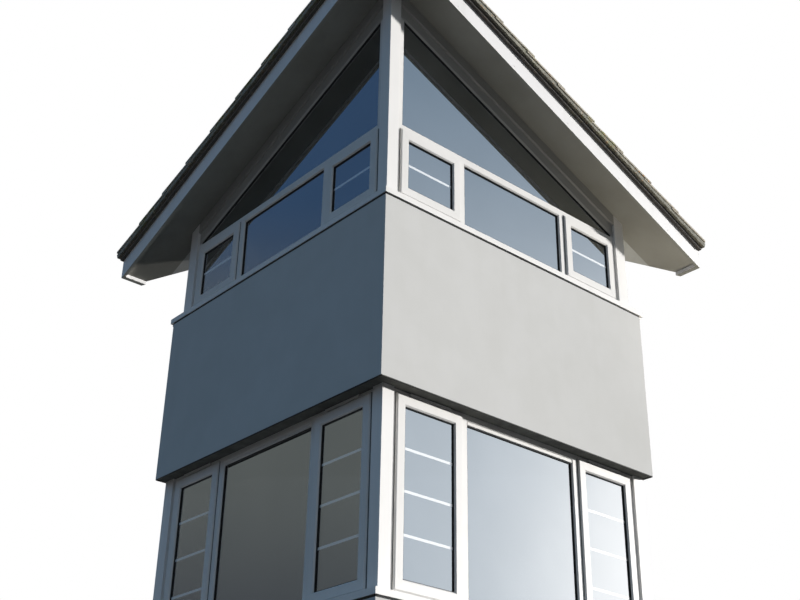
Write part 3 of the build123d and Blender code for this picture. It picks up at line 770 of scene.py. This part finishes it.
one_tile = tile_shape()
hip_plane = Vector((0, 0, 0))
first_nose = (tile_high.x - (tile_base + nose_height) * math.sin(pitch)) / math.cos(pitch)
courses = int((first_nose + tile_gauge) / tile_gauge) + 2
columns = int(run_to_wall / tile_width) + 3
for side, name in ((RIGHT, "right"), (LEFT, "left")):
    tiles = bmesh.new()
    tones = tiles.faces.layers.float.new("tone")
    for course in range(courses):
        nose = first_nose - course * tile_gauge
        for column in range(columns):
            edge = tile_low.y + verge_margin + column * tile_width
            reach = roof_axes(side) @ Vector((nose - tile_gauge, edge, tile_base))
            if reach.x * side < -tile_width or reach.y > wall_line_y + tile_gauge:
                continue
            held = len(tiles.verts)
            held_faces = len(tiles.faces)
            tiles.from_mesh(one_tile)
            tiles.verts.ensure_lookup_table()
            tiles.faces.ensure_lookup_table()
            slip = chance.uniform(-most_slip, 0.0)
            twist = Matrix.Rotation(math.radians(chance.uniform(-most_twist, most_twist)), 4, "Z")
            seat = Matrix.Translation((nose + slip, edge, tile_base - chance.uniform(0, most_sink)))
            bmesh.ops.transform(tiles, matrix=roof_axes(side) @ seat @ twist, verts=tiles.verts[held:])
            shade = chance.random()
            for face in tiles.faces[held_faces:]:
                face[tones] = shade
    cut_away(tiles, hip_plane, Vector((-side, 0, 0)))
    cut_away(tiles, *wall_plane)
    covering = finish_piece(tiles, f"roof_tiles_{name}", tile_concrete)
    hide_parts(f"tiles_{name}")

# Battens and felt under the tiles: a dark bed that stands back from the verge and the eaves.
# It shows as a shadow gap between the verge mortar and the undercloak.
dark_bed, tree, shader, place = start_material("dark tile bed", 0.95)
felted = add_mottle(tree, place, 40, 5, (0.035, 0.03, 0.027), (0.075, 0.066, 0.058))
tree.links.new(felted, shader.inputs["Base Color"])
add_bump(tree, shader, add_noise(tree, place, 90, 4), 0.002, 0.6)
eaves_end = (tile_high.x - tile_base * math.sin(pitch)) / math.cos(pitch)
bed_clear, bed_overlap = 0.0002, 0.002
tile_beds = bmesh.new()
for side in (RIGHT, LEFT):
    half_bed = bmesh.new()
    add_block(half_bed, roof_axes(side), (tile_low.y, tile_low.y + bed_setback, bed_base + bed_clear),
              (eaves_end - bed_setback, run_to_wall, tile_base + bed_overlap))
    cut_away(half_bed, hip_plane, Vector((-side, 0, 0)))
    cut_away(half_bed, *wall_plane)
    bed_data = bpy.data.meshes.new("half bed")
    half_bed.to_mesh(bed_data)
    half_bed.free()
    tile_beds.from_mesh(bed_data)
    bpy.data.meshes.remove(bed_data)
finish_piece(tile_beds, "tile_beds", dark_bed)

# Hip tiles and the mortar that beds them: segmental caps down the diagonal between the two slopes.
# The bedding mortar is struck off roughly along both edges, and along the verge under the tiles.
old_mortar, tree, shader, place = start_material("roof mortar", 0.95)
bedded = add_mottle(tree, place, 60, 6, (0.165, 0.16, 0.13), (0.26, 0.25, 0.21), 0.35, 0.7)
tree.links.new(add_group(tree, lichen, place, Color=bedded, Amount=0.4), shader.inputs["Base Color"])
add_bump(tree, shader, add_noise(tree, place, 160, 6), 0.003, 1.0)

hip_concrete, tree, shader, place = start_material("hip tile concrete", 0.93)
hip_body = add_mottle(tree, place, 30, 6, (0.24, 0.215, 0.18), (0.13, 0.115, 0.10), 0.3, 0.75)
tree.links.new(add_group(tree, lichen, place, Color=hip_body, Amount=0.8), shader.inputs["Base Color"])
add_bump(tree, shader, add_noise(tree, place, 190, 6), 0.0025, 0.9)
dress(hip_concrete, "hip_tiles")


def lumpy_strip(mesh, axes, low, high, pieces, rough):
    """A long bed of mortar, subdivided along its length and pushed about at random."""
    corners = add_block(mesh, axes, low, high)
    longest = [edge for edge in dict.fromkeys(edge for vertex in corners for edge in vertex.link_edges)
               if edge.calc_length() > (high[0] - low[0]) * 0.99]
    cut = bmesh.ops.subdivide_edges(mesh, edges=longest, cuts=pieces, use_grid_fill=True)
    for item in cut["geom_inner"]:
        if isinstance(item, bmesh.types.BMVert):
            item.co += Vector((0, 0, chance.uniform(-rough, rough)))


mortar = bmesh.new()
hip_slope = math.atan(fall / math.sqrt(2))
hip_low, hip_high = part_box("hip_tiles")
hip_length = (hip_high.y - hip_low.y) / math.cos(hip_slope)
hip_edge, hip_foot = hip_high.x - 0.022, hip_low.y + 0.03
hip_bed_lift, hip_bed_half, hip_bed_top = 0.046, 0.02, 0.022
hip_bed_length = hip_length - 0.05
verge_inset, verge_depth, verge_rise = 0.006, 0.06, 0.040
verge_start, verge_end = tile_low.y + 0.05, eaves_end - 0.02
hip_lumps, hip_rough = 90, 0.004
verge_lumps, verge_rough = 120, 0.003
for side in (RIGHT, LEFT):
    start_u = (hip_foot - corner_y + hip_edge) / math.sqrt(2)
    start_z = soffit_at_corner - fall * start_u + (tile_base + hip_bed_lift) / math.cos(pitch)
    down_hip = (Matrix.Translation((side * hip_edge, hip_foot, start_z))
                @ Matrix.Rotation(-hip_slope, 4, "X") @ Matrix.Rotation(math.radians(90), 4, "Z"))
    lumpy_strip(mortar, down_hip, (0, -hip_bed_half, -hip_bed_half),
                (hip_bed_length, hip_bed_half, hip_bed_top), hip_lumps, hip_rough)
    lumpy_strip(mortar, roof_axes(side), (verge_start, tile_low.y + verge_inset, tile_base),
                (verge_end, tile_low.y + verge_depth, tile_base + verge_rise), verge_lumps, verge_rough)
cut_away(mortar, *wall_plane)
finish_piece(mortar, "mortar_bedding", old_mortar)

# Pale studio floor: it looks pale to the camera and in the glass, and sends little light back up.
# It catches the bay's shadow, and it is no part of the bay.
floor_size = 120.0
studio_floor = bmesh.new()
bmesh.ops.create_grid(studio_floor, x_segments=1, y_segments=1, size=floor_size / 2)
floor_data = bpy.data.meshes.new("studio_floor")
studio_floor.to_mesh(floor_data)
studio_floor.free()
floor = bpy.data.objects.new("studio_floor", floor_data)
bpy.context.scene.collection.objects.link(floor)
floor_paint, tree, shader, place = start_material("studio floor", 0.9)
light_path = tree.nodes.new("ShaderNodeLightPath").outputs
seen = add_math(tree, "MAXIMUM", light_path["Is Camera Ray"], light_path["Is Glossy Ray"])
floor_color = add_mix(tree, seen, (0.05, 0.048, 0.044), (0.60, 0.60, 0.595))
tree.links.new(floor_color, shader.inputs["Base Color"])
tree.links.new(add_mix(tree, seen, (0, 0, 0), (0.50, 0.50, 0.495)), shader.inputs["Emission Color"])
shader.inputs["Emission Strength"].default_value = 1.0
floor_data.materials.append(floor_paint)

# Sky and cool fill all round: glass mirrors a pale sky with a low glare on the right and a bluer,
# darker one on the left, and the shade gets a softer light. The camera itself sees plain white.
world = bpy.data.worlds.new("studio")
bpy.context.scene.world = world
world.use_nodes = True
tree = world.node_tree
tree.nodes.clear()
output = tree.nodes.new("ShaderNodeOutputWorld")
background = tree.nodes.new("ShaderNodeBackground")
tree.links.new(background.outputs["Background"], output.inputs["Surface"])
direction = tree.nodes.new("ShaderNodeTexCoord").outputs["Generated"]
sky_axes = tree.nodes.new("ShaderNodeSeparateXYZ")
tree.links.new(direction, sky_axes.inputs["Vector"])


def sky_fade(axis, low, high, first, second):
    """Colour of the sky that turns from one to another between two values along an axis."""
    return add_mix(tree, add_range(tree, sky_axes.outputs[axis], low, high), first, second)


glare_direction = Vector((0.942, 0.218, 0.256)).normalized()
glare_tightness = 73.0
open_sky = sky_fade("Z", 0.35, 0.70, (1.20, 1.30, 1.40), (0.41, 0.55, 0.71))
toward_glare = tree.nodes.new("ShaderNodeVectorMath")
toward_glare.operation = "DOT_PRODUCT"
tree.links.new(direction, toward_glare.inputs[0])
toward_glare.inputs[1].default_value = glare_direction
glare = add_math(tree, "POWER", toward_glare.outputs["Value"], glare_tightness)
glare.node.use_clamp = True
right_sky = add_mix(tree, glare, open_sky, (3.7, 3.5, 3.35))
left_haze = sky_fade("Z", 0.18, 0.36, (0.12, 0.13, 0.15), (0.25, 0.265, 0.25))
left_haze = sky_fade("Z", 0.05, 0.16, (1.5, 1.3, 1.1), left_haze)
left_sky = sky_fade("Z", 0.38, 0.55, left_haze, (0.075, 0.148, 0.286))
sky = sky_fade("X", -0.4, 0.3, left_sky, right_sky)
high_fill = sky_fade("X", -0.7, 0.7, (0.10, 0.30, 0.55), (0.325, 0.345, 0.36))
low_fill = sky_fade("X", -0.7, 0.7, (0.14, 0.135, 0.135), (0.056, 0.055, 0.049))
open_fill = sky_fade("Z", 0.02, 0.65, low_fill, high_fill)
fill_light = sky_fade("Y", 0.2, 0.9, open_fill, (0.07, 0.08, 0.09))
light_path = tree.nodes.new("ShaderNodeLightPath").outputs
lit = add_mix(tree, light_path["Is Glossy Ray"], fill_light, sky)
shown = add_mix(tree, light_path["Is Camera Ray"], lit, (1.0, 1.0, 1.0))
tree.links.new(shown, background.inputs["Color"])
background.inputs["Strength"].default_value = 1.0

# Key light: a low sun from the right, which lights the right face at a slant and leaves the left
# one in shade. It is a little wider than the real sun, so that the edges of shadows are soft.
key_direction = Vector((0.962, 0.226, 0.170)).normalized()
key = bpy.data.lights.new("key", "SUN")
key.energy = 5.8
key.angle = math.radians(3)
key.color = (1.0, 0.985, 0.96)
key_lamp = bpy.data.objects.new("key", key)
key_lamp.rotation_euler = key_direction.to_track_quat("Z", "Y").to_euler()
bpy.context.scene.collection.objects.link(key_lamp)

# A warm fill from beyond the right face's far end, aimed up at the soffit.
# It is hidden from the camera and from every mirror, so that only the light it throws is seen.
bounce = bpy.data.lights.new("bounce", "SPOT")
bounce.energy = 135.0
bounce.spot_size = math.radians(46)
bounce.spot_blend = 1.0
bounce.shadow_soft_size = 0.5
bounce.color = (1.0, 0.92, 0.76)
bounce_lamp = bpy.data.objects.new("bounce", bounce)
bounce_from = face_axes(RIGHT) @ Vector((3.7, -0.42, 4.6))
bounce_to = face_axes(RIGHT) @ Vector((2.4, -0.1, 7.05))
bounce_lamp.location = bounce_from
bounce_lamp.rotation_euler = (bounce_from - bounce_to).to_track_quat("Z", "Y").to_euler()
bounce_lamp.visible_camera = False
bounce_lamp.visible_glossy = False
bpy.context.scene.collection.objects.link(bounce_lamp)

# The camera stands on the ground before the corner, a little to the right, and looks up at the two
# top storeys. Its lens is given as it was fitted to the picture, in pixels of the picture's width.
eye_height = 1.8815
eye_right_of_corner = 0.5805
eye_before_corner = 6.4438
heading, look_up, lean = -0.0742, 0.4909, 0.0188
picture_width = 800
focal_length_in_pixels = 1220.6
camera_data = bpy.data.cameras.new("camera")
camera_data.sensor_fit = "HORIZONTAL"
camera_data.sensor_width = 36.0
camera_data.lens = focal_length_in_pixels / picture_width * camera_data.sensor_width
camera_data.clip_end = 500
camera = bpy.data.objects.new("camera", camera_data)
camera.matrix_world = (
    Matrix.Translation((eye_right_of_corner, corner_y - eye_before_corner, eye_height))
    @ Matrix.Rotation(-heading, 4, "Z") @ Matrix.Rotation(math.pi / 2 + look_up, 4, "X")
    @ Matrix.Rotation(lean, 4, "Z")
)
bpy.context.scene.collection.objects.link(camera)
bpy.context.scene.camera = camera
bpy.context.scene.view_settings.view_transform = "Standard"
